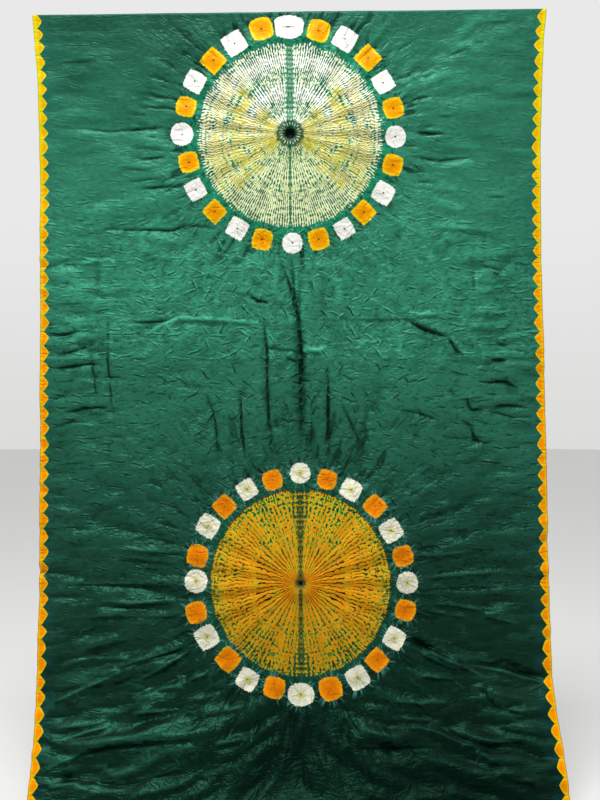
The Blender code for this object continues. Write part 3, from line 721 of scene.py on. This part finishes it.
    # the lower disc: orange, yellow and green flecks, run together into orange ridges left and right
    speck = add("Math MULTIPLY_ADD", pleat, 0.15, add("Math MULTIPLY_ADD", ragged, 0.78, 0.485))
    speck = add("Math MULTIPLY_ADD", add("Math SUBTRACT", cloud, 0.5), 0.35, speck)
    speck = add("Math MULTIPLY_ADD", add(smooth, rho, 0.66, 1.0), -0.10, speck)
    specks = add("ValToRGB", speck, stops=dyeing["specks"])
    ridge = add(colours, add(smooth, add("Math MULTIPLY_ADD", rows, 0.8, cloud), 0.38, 0.66),
                *dyeing["ridgeOrange"])
    # painted shade: the near-black in the troughs between the orange ridges
    ridge = add(colours, add(smooth, add("Math MULTIPLY_ADD", ragged, 0.40, pleat), -0.52, -0.82), ridge,
                dyeing["ridgeTroughShade"])
    inward = add("Math MULTIPLY", add(smooth, rho, 0.60, 0.15), add(smooth, sineFold, 0.10, 0.55))
    ridged = add("Math MULTIPLY", side, add(smooth, add("Math MULTIPLY_ADD", ragged, 0.60, rho), 0.98, 0.62))
    ridged = add("Math MULTIPLY", ridged, add(smooth, ragged, -0.44, -0.26))
    lowerDisc = add(colours, add("Math MAXIMUM", ridged, inward), specks, ridge)
    # painted shade: the lower disc darkens towards its bottom, as the ground does towards the foot
    lowerDisc = add(colours, add("Math MULTIPLY", add(smooth, y, 0.0, -120.0), 0.24), lowerDisc, "#5c2606")
    disc = add(colours, lower, upperDisc, lowerDisc)

    # the stitched column on the fold line: small uneven checks, widest near the rim of the lower disc
    checkX = add("Math COSINE", add("Math MULTIPLY", xFold, circle / 8.2))
    checkY = add("Math COSINE", add("Math MULTIPLY_ADD", rows, 5.0, add("Math MULTIPLY", y, circle / 8.6)))
    checks = add("Math MULTIPLY_ADD", checkX, 0.34, add("Math MULTIPLY_ADD", checkY, 0.30, ragged))
    nearRim = add("Math MAXIMUM", add(smooth, y, 70.0, 125.0), add(smooth, y, -95.0, -140.0))
    columnHalf = add(pair, lower, 9.0, add("Math MULTIPLY_ADD", nearRim, 10.5, 3.5))
    columnHalf = add("Math MULTIPLY_ADD", ragged, 5.0, columnHalf)
    column = add(smooth, add("Math SUBTRACT", xFold, columnHalf), 2.5, -2.0)
    column = add("Math MULTIPLY", column, add("Math MAXIMUM", lower, add(smooth, y, -20.0, 8.0)))
    columnColour = add(colours, add(smooth, checks, 0.00, 0.30), add(colours, lower, "#15815a", "#124c2e"),
                       add(colours, lower, "#eaf2dc", "#c3a61f"))
    disc = add(colours, add("Math MULTIPLY", column, 0.88), disc, columnColour)
    seam = add(smooth, add("Math MULTIPLY_ADD", ragged, 1.6, xFold), 3.0, 1.0)
    disc = add(colours, add("Math MULTIPLY", seam, 0.75), disc, add(colours, lower, "#15704c", "#12321c"))

    # the knot at the middle: a dark hole in a ring of short dashes
    knot = add("Math MULTIPLY_ADD", add("Math SINE", add("Math MULTIPLY", fromTop, 13.0)), 1.1, radius)
    knot = add("Math MULTIPLY_ADD", fleck, 6.0, knot)
    eyeRing = add(smooth, knot, add(pair, lower, 28.0, 13.0), add(pair, lower, 22.0, 7.0))
    eyeWave = add("Math SINE", add("Math MULTIPLY_ADD", fromTop, 22.0, add("Math MULTIPLY", radius, 0.12)))
    eyeLight = add(smooth, add("Math MULTIPLY_ADD", ragged, 1.6, eyeWave), 0.40, 0.95)
    eyeStart = add(smooth, knot, add(pair, lower, 13.5, 3.0), add(pair, lower, 16.0, 7.0))
    eyeLight = add("Math MULTIPLY", eyeLight, add("Math MULTIPLY", eyeStart, add(smooth, knot, 21.0, 18.0)))
    eyeColour = add(colours, eyeLight, "#0e4a34", add(colours, lower, "#dfe6c6", "#c99416"))
    disc = add(colours, add("Math MULTIPLY", eyeRing, 0.92), disc, eyeColour)
    hole = add(smooth, knot, add(pair, lower, 11.5, 5.0), add(pair, lower, 9.0, 2.5))
    disc = add(colours, hole, disc, dyeing["hole"])

    # the green ground, deeper in clouds and level streaks
    patch = add("Math SUBTRACT", add("TexNoise", flat, 1 / 110, 1.0, 0.55), 0.5)
    streak = add("TexNoise", add("VectorMath MULTIPLY", flat, (1 / 60, 1 / 5, 0.0)), 1.0, 2.0, 0.55)
    # darker towards the foot: painted shade where less light reaches
    ground = add("ValToRGB", add("Math DIVIDE", along, millimetres), stops=dyeing["ground"])
    deep = add("Math MULTIPLY_ADD", add("Math SUBTRACT", streak, 0.5), 0.6, add("Math MULTIPLY", patch, 0.9))
    ground = add(colours, add("Math MAXIMUM", deep, 0.0), ground, dyeing["groundDeep"])
    nearRing = add(smooth, add("Math ABSOLUTE", add("Math SUBTRACT", rho, 1.05)), 0.16, 0.05)
    ringGreen = add(colours, lower, *dyeing["ringGreen"])
    ground = add(colours, add("Math MULTIPLY", nearRing, 0.8), ground, ringGreen)

    # the crepe of small creases: level near the selvedges, wavering between them, outward below the rings
    sidePart = add(smooth, add("Math ABSOLUTE", across), 150.0, 330.0)
    busy = add("Math MULTIPLY_ADD", add(smooth, along, 240.0, 520.0), 0.65, 0.35)
    busy = add("Math MULTIPLY_ADD", add(smooth, along, 960.0, 1160.0), -0.60, busy)
    waver = add("VectorMath SUBTRACT", add("TexNoise", flat, 1 / 34, 1.0, 0.5, out=1), (0.5, 0.5, 0.5))
    waver = add("VectorMath SCALE", waver, add("Math MULTIPLY_ADD", sidePart, -26.0, 38.0))
    waving = add("VectorMath ADD", flat, waver)
    crepe = add("TexNoise", add("VectorMath MULTIPLY", waving, (1 / 11, 1 / 6.0, 0.0)), 1.0, 2.0, 0.6)

    # short straight creases, one to a cell: any way in the middle, level near the selvedges
    stick, liftAndHighlight = 0.0, 0.0
    for size, shift in ((38.0, 0.0), (24.0, 7.3)):
        place = add("VectorMath ADD", add("VectorMath SCALE", flat, 1 / size), (shift, shift, 0.0))
        chance = add("TexVoronoi", place, 1.0, voronoi_dimensions="2D", out=1)
        middle = chance.node.outputs["Position"]
        turned = add("Math SUBTRACT", add("SeparateColor", chance), 0.5)
        turned = add("Math MULTIPLY", turned, add("Math MULTIPLY_ADD", sidePart, -2.1, 2.5))
        offset = add("VectorMath SCALE", add("VectorMath SUBTRACT", place, middle), size)
        offset = add("VectorRotate", offset, (0.0, 0.0, 0.0), turned, rotation_type="Z_AXIS")
        run, rise = add("SeparateXYZ", offset), add("SeparateXYZ", offset, out=1)
        rise = add("Math MULTIPLY_ADD", add("Math SINE", add("Math MULTIPLY", run, 0.30)), 0.5, rise)
        force = add("Math MULTIPLY", add(smooth, add("SeparateColor", chance, out=1), 0.15, 0.9), busy)
        force = add("Math MULTIPLY", force, add(smooth, add("Math ABSOLUTE", run), 0.52 * size, 0.12 * size))
        sunk = add("Math MULTIPLY", force, add(smooth, add("Math ABSOLUTE", rise), 2.2, 0.3))
        lip = add("Math ABSOLUTE", add("Math SUBTRACT", rise, 2.6))
        stick = add("Math MAXIMUM", stick, sunk)
        liftAndHighlight = add("Math MAXIMUM", liftAndHighlight, add("Math MULTIPLY", force, add(smooth, lip, 2.4, 0.3)))
    crumple = add("TexNoise", add("VectorMath MULTIPLY", waving, (1 / 58, 1 / 19, 0.3)), 1.0, 1.0, 0.5)
    rays = add("CombineXYZ", add("Math MULTIPLY", sine, 17.0), add("Math MULTIPLY", cosine, 17.0),
               add("Math DIVIDE", radius, 46.0))
    rayNoise = add("TexNoise", rays, 1.0, 1.0, 0.5)
    rayReach = add("Math MULTIPLY", add(smooth, rho, 1.04, 1.26),
                   add(smooth, rho, add(pair, lower, 1.95, 2.70), add(pair, lower, 1.25, 1.35)))
    rayLine = add("Math MULTIPLY", add(smooth, rayNoise, 0.57, 0.68), rayReach)
    line = add("Math MAXIMUM", stick, rayLine)
    # painted shade along the short creases and the outward rays
    ground = add(colours, add("Math MULTIPLY", line, 0.82), ground, dyeing["paintedCreaseShade"])
    # painted shade in the crepe's hollows and painted highlight on its tops
    crepeHollowShade = add("Math MULTIPLY", add(smooth, crepe, 0.47, 0.30), add("Math MULTIPLY", busy, 0.62))
    ground = add(colours, crepeHollowShade, ground, dyeing["paintedCreaseShade"])
    # painted highlight: lighter green where ridges, crepe tops and crease lips catch the light
    raised = add(colours, lower, *dyeing["paintedRidgeHighlight"])
    shine = add("Math MULTIPLY", add(smooth, crepe, 0.54, 0.72), add("Math MULTIPLY", busy, 0.40))
    ground = add(colours, shine, ground, raised)
    # painted highlight on the lips beside the short creases
    ground = add(colours, add("Math MULTIPLY", liftAndHighlight, 0.62), ground, raised)

    # painted shade and painted highlight of the sharp creases, broken up by the crepe across them
    creased = add("Attribute", attribute_name="creaseShade", out=2)
    breaks = add("Math MULTIPLY_ADD", add(smooth, crumple, 0.36, 0.54), 0.6, crepe)
    broken = add("Math MULTIPLY", creased, breaks)
    paintedCreaseDark = add("Math MAXIMUM", broken, 0.0)
    ground = add(colours, add("Math MINIMUM", paintedCreaseDark, 1.0), ground, dyeing["paintedCreaseShade"])
    glint = add("Math MAXIMUM", add("Math MULTIPLY", broken, -1.0), 0.0)
    ground = add(colours, add("Math MINIMUM", glint, 1.0), ground, raised)
    patchShade = 0.0
    for row in paintedShadePatches:
        offset = add("VectorMath SUBTRACT", add("CombineXYZ", across, along, 0.0), (*row["middle"], 0.0))
        away = add("VectorMath LENGTH", add("VectorMath DIVIDE", offset, (*row["reach"], 1.0)))
        patchShade = add("Math MAXIMUM", patchShade, add("Math MULTIPLY", add(smooth, away, 1.45, 0.0), row["patchShade"]))
    # painted shade: the ground darkened in broad patches
    ground = add(colours, patchShade, ground, dyeing["patchShadeDark"])

    # the disc ends in spikes where each pleat was bound
    spiked = add("Math MULTIPLY_ADD", ragged, add(pair, lower, -0.07, -0.035), rho)
    spiked = add("Math MULTIPLY_ADD", fine, add(pair, lower, -0.016, -0.006), spiked)
    inDisc = add(smooth, spiked, 1.000, 0.975)
    colour = add(colours, inDisc, ground, disc)

    # the ring of 24 tied squares, white and orange by turns, each strayed a little by chance
    step = math.pi / 12
    number = add("Math ROUND", add("Math DIVIDE", fromTop, step))
    dotAngle = add("Math MULTIPLY", number, step)
    name = add("Math MODULO", add("Math ADD", number, 24.0), 24.0)
    chance = add("TexWhiteNoise", add("CombineXYZ", name, lower, 0.5), out=1)
    strayTurn = add("Math SUBTRACT", add("SeparateColor", chance, out=1), 0.5)
    strayReach = add("Math SUBTRACT", add("SeparateColor", chance, out=2), 0.5)
    dotPlace = add("Math MULTIPLY_ADD", strayTurn, math.radians(2 * dotStray["turn"]), dotAngle)
    dotReach = add(pair, lower, first["ring"] * 1000, second["ring"] * 1000)
    dotReach = add("Math MULTIPLY_ADD", strayReach, 2 * dotStray["reach"], dotReach)
    offAngle = add("Math SUBTRACT", fromTop, dotPlace)
    tangent = add("Math MULTIPLY", radius, add("Math SINE", offAngle))
    outward = add("Math SUBTRACT", add("Math MULTIPLY", radius, add("Math COSINE", offAngle)), dotReach)
    isTop = add("Math LESS_THAN", name, 0.5)
    isFoot = add("Math COMPARE", name, 12.0, 0.4)
    upperTop = add("Math MULTIPLY", isTop, add("Math SUBTRACT", 1.0, lower))
    breadth = add("Math MULTIPLY_ADD", upperTop, -0.29, 1.0)
    breadth = add("Math MULTIPLY_ADD", add("Math MULTIPLY", isFoot, lower), -0.16, breadth)
    dotVector = add("CombineXYZ", add("Math MULTIPLY", tangent, breadth), outward, 0.0)
    dotRound = add("VectorMath LENGTH", dotVector)
    dotBox = add("Math MAXIMUM", add("Math ABSOLUTE", add("SeparateXYZ", dotVector)),
                 add("Math ABSOLUTE", outward))
    diagonal = add("Math ABSOLUTE", add("Math SINE", add("Math MULTIPLY", dotAngle, 2.0)))
    square = add("Math MULTIPLY_ADD", add("Math POWER", diagonal, 0.8), add(pair, lower, 0.80, 0.66), 0.08)
    dotTurn = add("VectorMath NORMALIZE", dotVector)
    flutePlace = add("VectorMath ADD", dotTurn, add("CombineXYZ", name, lower, name))
    flute = add("Math SUBTRACT", add("TexNoise", flutePlace, 6.5, 1.0, 0.5), 0.5)
    fibre = add("Math SUBTRACT", add("TexNoise", add("CombineXYZ", x, y, number), 0.42, 2.0, 0.6), 0.5)
    dotEdge = add("Math MULTIPLY_ADD", fibre, 4.2, add(pair, square, dotRound, dotBox))
    dotEdge = add("Math MULTIPLY_ADD", flute, add(pair, lower, 2.6, 5.0), dotEdge)
    dotHalf = add("Math MULTIPLY_ADD", add("SeparateXYZ", chance), 2.2, add(pair, square, *dyeing["dotHalf"]))
    dotHalf = add("Math MULTIPLY_ADD", add("Math COSINE", dotAngle), add(pair, lower, 0.9, -0.5), dotHalf)
    dotEdge = add("Math SUBTRACT", dotEdge, add("Math SUBTRACT", dotHalf, 1.1))
    isDot = add(smooth, dotEdge, 0.7, -0.7)
    isOrange = add("Math MODULO", name, 2.0)
    spokes = add("TexNoise", flutePlace, 4.2, 2.0, 0.6)
    spokeLine = add(smooth, spokes, add(pair, lower, 0.60, 0.55), add(pair, lower, 0.67, 0.62))
    spokeLine = add("Math MULTIPLY", spokeLine, add(smooth, dotRound, add(pair, lower, 15.0, 21.0), 5.0))
    fluted = add("Math MULTIPLY", add(smooth, flute, 0.00, 0.09), add(smooth, dotRound, 24.0, 9.0))
    # painted shade in the dots' creases, grey in the white dots and brown in the orange ones below
    whiteDot = add(colours, add("Math MULTIPLY", spokeLine, add(pair, lower, 0.52, 0.25)),
                   add(colours, lower, *dyeing["whiteDot"]), "#7d7a66")
    whiteDot = add(colours, add("Math MULTIPLY", fluted, add(pair, lower, 0.12, 0.34)), whiteDot, "#8b8a4a")
    orangeDot = add(colours, add(smooth, dotEdge, -8.0, -0.5), add(colours, lower, *dyeing["orangeDot"]),
                    add(colours, lower, *dyeing["dotYellow"]))
    orangeDot = add(colours, add("Math MULTIPLY", fluted, add(pair, lower, 0.20, 0.42)), orangeDot, "#e06c08")
    orangeDot = add(colours, add("Math MULTIPLY", spokeLine, add(pair, lower, 0.66, 0.40)), orangeDot,
                    "#a64808")
    halo = add("Math MULTIPLY", add(smooth, dotRound, 10.0, 1.5), add(pair, isOrange, lower, 0.4))
    whiteDot = add(colours, add("Math MULTIPLY", halo, 0.75), whiteDot, "#c5c036")
    orangeDot = add(colours, add("Math MULTIPLY", halo, 0.60), orangeDot, "#c8600a")
    dotColour = add(colours, isOrange, whiteDot, orangeDot)
    slit = add("VectorMath LENGTH", add("CombineXYZ", add("Math DIVIDE", tangent, 11.0), outward, 0.0))
    slit = add("Math MULTIPLY", add(smooth, slit, 1.7, 0.6), upperTop)
    dotColour = add(colours, slit, dotColour, "#7f8414")
    dotColour = add(colours, add(smooth, add("Math MULTIPLY_ADD", fibre, 3.0, dotRound), 2.3, 0.9), dotColour,
                    add(colours, lower, "#33210f", "#86791c"))
    hair = add("Math MULTIPLY", add(smooth, flute, 0.03, 0.12), add(smooth, dotEdge, 14.0, 1.0))
    colour = add(colours, add("Math MULTIPLY", hair, add(pair, lower, 0.0, 0.75)), colour, "#4f9488")
    # painted shade: dark crease lines between the dots
    dark = add("Math MULTIPLY", add(smooth, spokes, 0.47, 0.40), add(smooth, dotEdge, 17.0, 1.0))
    colour = add(colours, add("Math MULTIPLY", dark, 0.72), colour, dyeing["paintedCreaseShade"])
    colour = add(colours, isDot, colour, dotColour)

    # the scalloped border, tied along both selvedges
    fromEdge = add("Math SUBTRACT", halfWidth, add("Math ABSOLUTE", across))
    pitchNear, pitchFar = dyeing["scallopPitch"]
    widening = (1 / pitchNear - 1 / pitchFar) / (2 * millimetres)
    edgePlace = add("CombineXYZ", along, add("Math SIGN", across), 0.0)
    uneven = add("Math SUBTRACT", add("TexNoise", edgePlace, 1 / 40, 1.0, 0.5), 0.5)
    count = add("Math MULTIPLY", along, add("Math MULTIPLY_ADD", along, -widening, 1 / pitchNear))
    within = add("Math FRACT", add("Math MULTIPLY_ADD", uneven, 0.5, count))
    within = add("Math POWER", within, 0.92)
    bulge = add("Math ABSOLUTE", add("Math MULTIPLY_ADD", within, 2.0, -1.0))
    bulge = add("Math SUBTRACT", 1.0, add("Math POWER", bulge, 1.3))
    brink = add("Math MULTIPLY_ADD", bulge, dyeing["scallopDepth"], dyeing["bandDepth"])
    brink = add("Math MULTIPLY_ADD", uneven, 5.0, add("Math MULTIPLY_ADD", fibre, 2.4, brink))
    inside = add("Math SUBTRACT", brink, fromEdge)
    core = add("Math MULTIPLY", add(smooth, inside, 1.8, 3.6), add(smooth, bulge, 0.20, 0.65))
    further = add(smooth, along, 60.0, 760.0)
    coreStart = add("Math MULTIPLY_ADD", further, -3.5, 8.5)
    core = add("Math MULTIPLY", core, add(smooth, fromEdge, 2.0, coreStart))
    border = add(colours, core, add(colours, further, *dyeing["bandYellow"]),
                 add(colours, further, *dyeing["scallopOrange"]))
    border = add(colours, add(smooth, inside, 1.4, 0.0), border, "#b9b41a")
    notch = add("Math MULTIPLY", add(smooth, bulge, 0.16, 0.02), add(smooth, fromEdge, 1.0, 5.0))
    border = add(colours, add("Math MULTIPLY", notch, 0.8), border, "#a8a812")
    border = add(colours, add(smooth, fromEdge, 1.9, 0.7), border,
                 add(colours, further, "#c9c80e", "#cf8a0a"))
    teal = add("Math MULTIPLY", add(smooth, fromEdge, 36.0, 22.0), add(smooth, uneven, -0.1, 0.2))
    colour = add(colours, add("Math MULTIPLY", teal, 0.35), colour, "#1a4f55")
    colour = add(colours, add(smooth, inside, -0.5, 0.5), colour, border)

    # relief too fine for the mesh: the crepe, the crumples and the outward creases
    relief = add("Math MULTIPLY", add("Math MULTIPLY_ADD", crumple, 1.50, crepe), busy)
    relief = add("Math MULTIPLY_ADD", liftAndHighlight, 0.20, relief)
    relief = add("Math MULTIPLY_ADD", line, -0.45, relief)
    relief = add("Math MULTIPLY_ADD", add("Math MULTIPLY", rayNoise, rayReach), -1.60, relief)
    relief = add("Math MULTIPLY", relief, add("Math MULTIPLY_ADD", inDisc, -0.8, 1.0))
    bump = add("Bump", 1.0, 0.0026, 0.1, relief)
    gloss = add("Math MULTIPLY_ADD", streak, 0.12, 0.32)

    tree.links.new(colour, shader.inputs["Base Color"])
    tree.links.new(gloss, shader.inputs["Roughness"])
    tree.links.new(bump, shader.inputs["Normal"])
    figure = add("Math MAXIMUM", add("Math MAXIMUM", inDisc, isDot), add(smooth, inside, -0.5, 0.5))
    # the gloss tint is dimmed where the painted shade patches lie
    sheen = add(colours, add("Math MULTIPLY", patchShade, 0.85), dyeing["gloss"], "#143a2c")
    tree.links.new(add(colours, figure, sheen, colour), shader.inputs["Specular Tint"])
    shader.inputs["IOR"].default_value = 1.5
    shader.inputs["Specular IOR Level"].default_value = 0.5
    print("material made with", len(tree.nodes), "nodes")
    return material


def refinedMesh(name, flat, faces):
    # the flat mesh with its cells halved near each sharp crease, so that narrow folds come out crisp
    made = bmesh.new()
    corners = [made.verts.new((across, along, 0.0)) for across, along in flat]
    for face in faces:
        made.faces.new([corners[i] for i in face])
    for halving, reach in enumerate(hungCloth["refineReach"]):
        paths = [flatPlaces(path) for kind, known in sharpCreases.items() for path in known
                 if creaseKinds[kind]["halvings"] > halving]
        edges = list(made.edges)
        middles = np.array([((e.verts[0].co + e.verts[1].co) / 2)[:2] for e in edges])
        near = np.zeros(len(edges), dtype=bool)
        for path in paths:
            for start, end in zip(path[:-1], path[1:]):
                run = end - start
                share = np.clip((middles - start) @ run / (run @ run), 0.0, 1.0)
                near |= np.linalg.norm(middles - start - share[:, None] * run, axis=1) < reach
        chosen = [edge for edge, isNear in zip(edges, near) if isNear]
        bmesh.ops.subdivide_edges(made, edges=chosen, cuts=1, use_grid_fill=True)
    bmesh.ops.triangulate(made, faces=[face for face in made.faces if len(face.verts) > 4])
    mesh = bpy.data.meshes.new(name)
    made.to_mesh(mesh)
    made.free()
    return mesh


def makeCloth():
    mesh = refinedMesh("hungCloth", *flatMesh())
    flat = np.empty(len(mesh.vertices) * 3)
    mesh.vertices.foreach_get("co", flat)
    across, along = flat[0::3].copy(), flat[1::3].copy()
    turns = pleatTurns(across, along)
    places, shade = hungPoints(across, along, turns)
    mesh.vertices.foreach_set("co", places.ravel())
    length = hungCloth["length"]
    flatUv = np.column_stack([(across + hungCloth["loomWidth"] / 2) / length, 1.0 - along / length])
    corners = np.empty(len(mesh.loops), dtype=np.int32)
    mesh.loops.foreach_get("vertex_index", corners)
    mesh.uv_layers.new(name="flatCloth").data.foreach_set("uv", flatUv[corners].ravel())
    mesh.attributes.new("pleatTurns", "FLOAT", "POINT").data.foreach_set("value", turns)
    mesh.attributes.new("creaseShade", "FLOAT", "POINT").data.foreach_set("value", shade)
    for face in mesh.polygons:
        face.use_smooth = True
    mesh.update()
    piece = bpy.data.objects.new("hungCloth", mesh)
    bpy.context.scene.collection.objects.link(piece)
    bpy.ops.object.select_all(action="DESELECT")
    piece.select_set(True)
    bpy.context.view_layer.objects.active = piece
    wall = piece.modifiers.new("wall", "SOLIDIFY")
    wall.thickness = hungCloth["thickness"]
    wall.offset = 0.0
    bpy.ops.object.modifier_apply(modifier=wall.name)
    piece.data.materials.append(dyedSatin())
    triangles = sum(len(face.vertices) - 2 for face in piece.data.polygons)
    print("cloth made with", triangles, "triangles")
    return piece


studio = {
    "cameraPlace": (0.0186, -1.80, -0.689),   # level and square on, at the middle of the picture
    "lens": 45.63,
    "sensor": 36.0,
    "picture": (600, 800),
    "floor": "#e8e8e7",
    "wallSide": "#e9e9e9",      # a bright wall stands behind the cloth and a dimmer room before it
    "wallFoot": "#dcdcdb",
    "roomSide": "#7c7d7d",
    "ceiling": "#ebebe9",
    "keyPlace": (-0.20, -1.30, 1.85),
    "keyAim": (0.0, 0.0, -0.65),
    "keySize": 0.9,
    "keyPower": 67,
    "floorDrop": 0.0006,
}


def makeStudio():
    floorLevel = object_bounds()[0].z - studio["floorDrop"]
    bpy.ops.object.select_all(action="DESELECT")
    bpy.ops.mesh.primitive_circle_add(vertices=96, radius=14, fill_type="NGON", location=(0, 0, floorLevel))
    floor = bpy.context.active_object
    floor.name = "studioFloor"
    paint = bpy.data.materials.new("matPaintedFloor")
    paint.use_nodes = True
    shader = paint.node_tree.nodes["Principled BSDF"]
    shader.inputs["Base Color"].default_value = dye(studio["floor"])
    shader.inputs["Roughness"].default_value = 0.9
    floor.data.materials.append(paint)
    world = bpy.data.worlds.new("paleRoom")
    bpy.context.scene.world = world
    world.use_nodes = True
    tree = world.node_tree
    direction = addNode(tree, "TexCoord")
    backward, upward = (addNode(tree, "SeparateXYZ", direction, out=part) for part in (1, 2))
    towardsWall = addNode(tree, "MapRange SMOOTHSTEP", backward, -0.25, 0.35)
    overhead = addNode(tree, "MapRange SMOOTHSTEP", upward, 0.50, 0.80)
    low = addNode(tree, "MapRange SMOOTHSTEP", upward, 0.20, -0.06)
    wall = addNode(tree, "Mix RGBA", low, studio["wallSide"], studio["wallFoot"])
    sky = addNode(tree, "Mix RGBA", towardsWall, studio["roomSide"], wall)
    sky = addNode(tree, "Mix RGBA", overhead, sky, studio["ceiling"])
    tree.links.new(sky, tree.nodes["Background"].inputs["Color"])
    lamp = bpy.data.lights.new("keyPanel", "AREA")
    lamp.size = studio["keySize"]
    lamp.energy = studio["keyPower"]
    key = bpy.data.objects.new("keyPanel", lamp)
    bpy.context.scene.collection.objects.link(key)
    key.location = studio["keyPlace"]
    aim = [to - at for to, at in zip(studio["keyAim"], studio["keyPlace"])]
    key.rotation_euler = Vector(aim).to_track_quat("-Z", "Y").to_euler()
    lens = bpy.data.cameras.new("camera")
    lens.lens = studio["lens"]
    lens.sensor_width = studio["sensor"]
    camera = bpy.data.objects.new("camera", lens)
    bpy.context.scene.collection.objects.link(camera)
    camera.location = studio["cameraPlace"]
    camera.rotation_euler = (math.radians(90), 0.0, 0.0)
    bpy.context.scene.camera = camera


cloth = makeCloth()
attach(cloth, "root")
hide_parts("cloth")
makeStudio()
print("studio made")

# the dyes keep their own colours, with no film curve over them
bpy.context.scene.view_settings.view_transform = "Standard"
